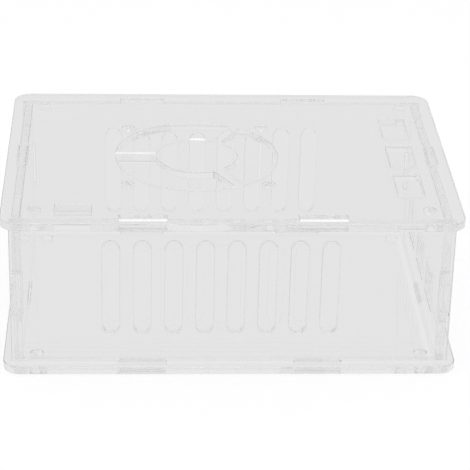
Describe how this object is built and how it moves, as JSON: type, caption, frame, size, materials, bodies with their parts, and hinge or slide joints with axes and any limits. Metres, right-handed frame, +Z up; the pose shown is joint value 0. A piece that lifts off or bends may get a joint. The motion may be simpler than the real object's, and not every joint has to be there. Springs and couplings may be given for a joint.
{
  "type": "clear acrylic amplifier case",
  "caption": "Clear acrylic case for an amplifier board: flat tabbed panels with cooling slots, a round fan grille in the top, terminal windows and wire openings.",
  "frame": {"origin": "middle of the case's underside", "axes": "+X to the right along the case, +Y from the front wall to the back wall, +Z up; the terminal windows are towards +X and the switch window is towards -X, -Y"},
  "size_m": [0.16, 0.115, 0.059],
  "materials": {
    "clear_acrylic": "clear polished sheet with laser-cut edges"
  },
  "bodies": {
    "root": {"bottom_plate": "clear_acrylic", "front_wall": "clear_acrylic", "back_wall": "clear_acrylic", "left_wall": "clear_acrylic", "right_wall": "clear_acrylic", "top_plate": "clear_acrylic"}
  },
  "joints": []
}
